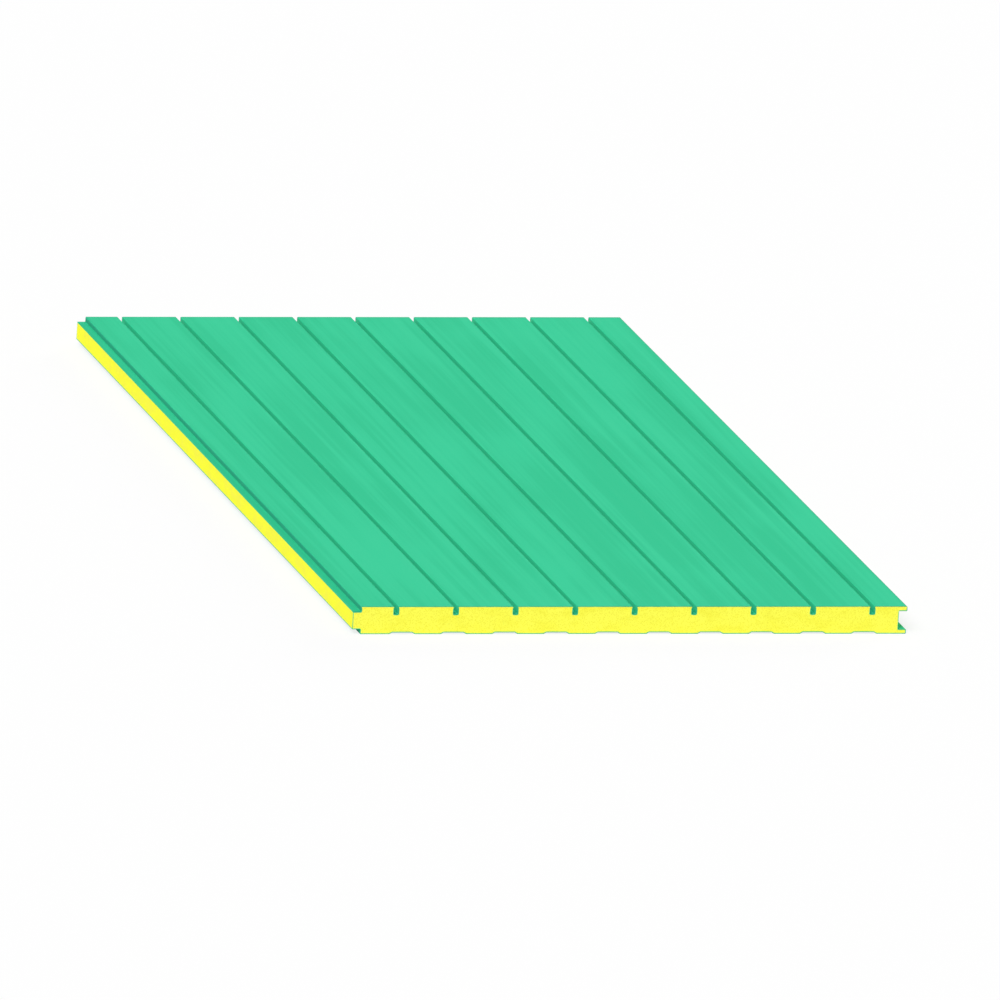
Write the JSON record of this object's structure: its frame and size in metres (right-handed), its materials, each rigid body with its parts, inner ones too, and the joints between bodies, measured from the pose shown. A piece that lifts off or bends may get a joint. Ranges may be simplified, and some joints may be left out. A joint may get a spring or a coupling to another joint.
{
  "type": "insulated sandwich panel",
  "caption": "Flat insulated wall or roof panel: two coloured steel facings on a rigid foam core, slotted outer face, recessed inner face, tongue and groove on the long edges.",
  "frame": {"origin": "bottom centre of the overall box, on the inner face that it lies on", "axes": "+X across the cover width from the tongue to the groove, +Y along the panel's length, +Z from the inner face up to the slotted outer face"},
  "size_m": [1.0146, 2, 0.05],
  "materials": {
    "coated_steel": "satin coil coating",
    "rigid_foam": "sawn rigid foam, matt"
  },
  "bodies": {
    "root": {"outer_facing": "coated_steel", "foam_core": "rigid_foam", "inner_facing": "coated_steel"}
  },
  "joints": []
}
